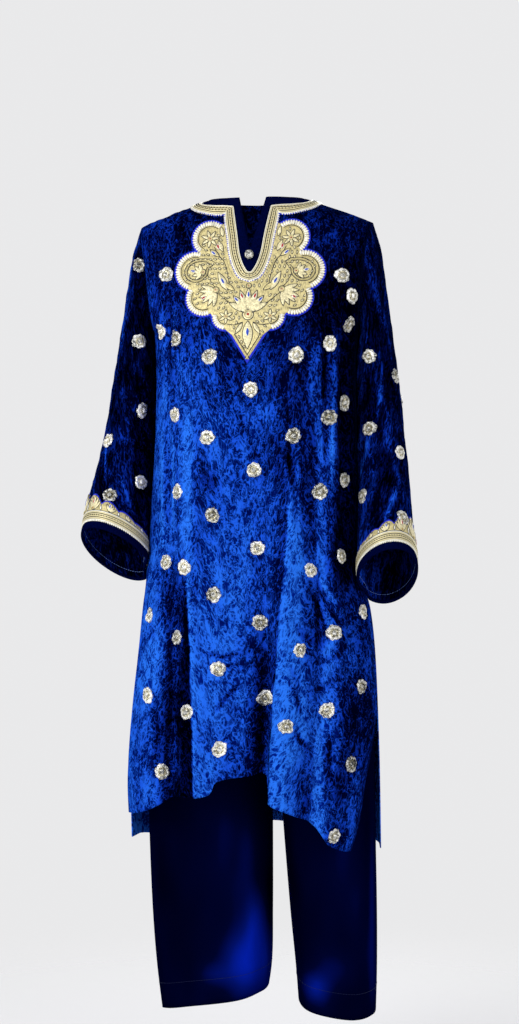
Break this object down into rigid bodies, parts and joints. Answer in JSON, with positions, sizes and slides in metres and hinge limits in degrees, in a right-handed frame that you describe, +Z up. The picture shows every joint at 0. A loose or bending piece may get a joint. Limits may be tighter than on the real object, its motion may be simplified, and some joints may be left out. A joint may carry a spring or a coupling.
{
  "type": "pheran set",
  "caption": "Long crushed-velvet pheran tunic with an embroidered yoke and open cuffs, worn over straight satin trousers.",
  "frame": {"origin": "midway between the wearer's shoulders, at the height of the shoulder seams, where the tunic is carried", "axes": "+Z up, -Y the way the wearer faces, +X towards the wearer's left"},
  "size_m": [0.5346, 0.316, 1.2978],
  "materials": {
    "velvet": "crushed royal blue velvet",
    "binding": "navy velvet binding",
    "tilla": "couched gold thread",
    "satin": "smooth navy satin",
    "silver": "polished silver"
  },
  "bodies": {
    "root": {"front_panel": "velvet", "back_panel": "velvet", "neck_binding_front": "binding", "neck_binding_back": "binding", "neck_braid_front": "tilla", "neck_braid_back": "tilla", "yoke_embroidery": "tilla", "sleeve_right": "velvet", "cuff_tilla_right": "tilla", "cuff_binding_right": "binding", "sleeve_left": "velvet", "cuff_tilla_left": "tilla", "cuff_binding_left": "binding", "slit_button": "silver", "leg_right_front": "satin", "leg_right_back": "satin", "leg_left_front": "satin", "leg_left_back": "satin", "waistband": "satin"}
  },
  "joints": []
}
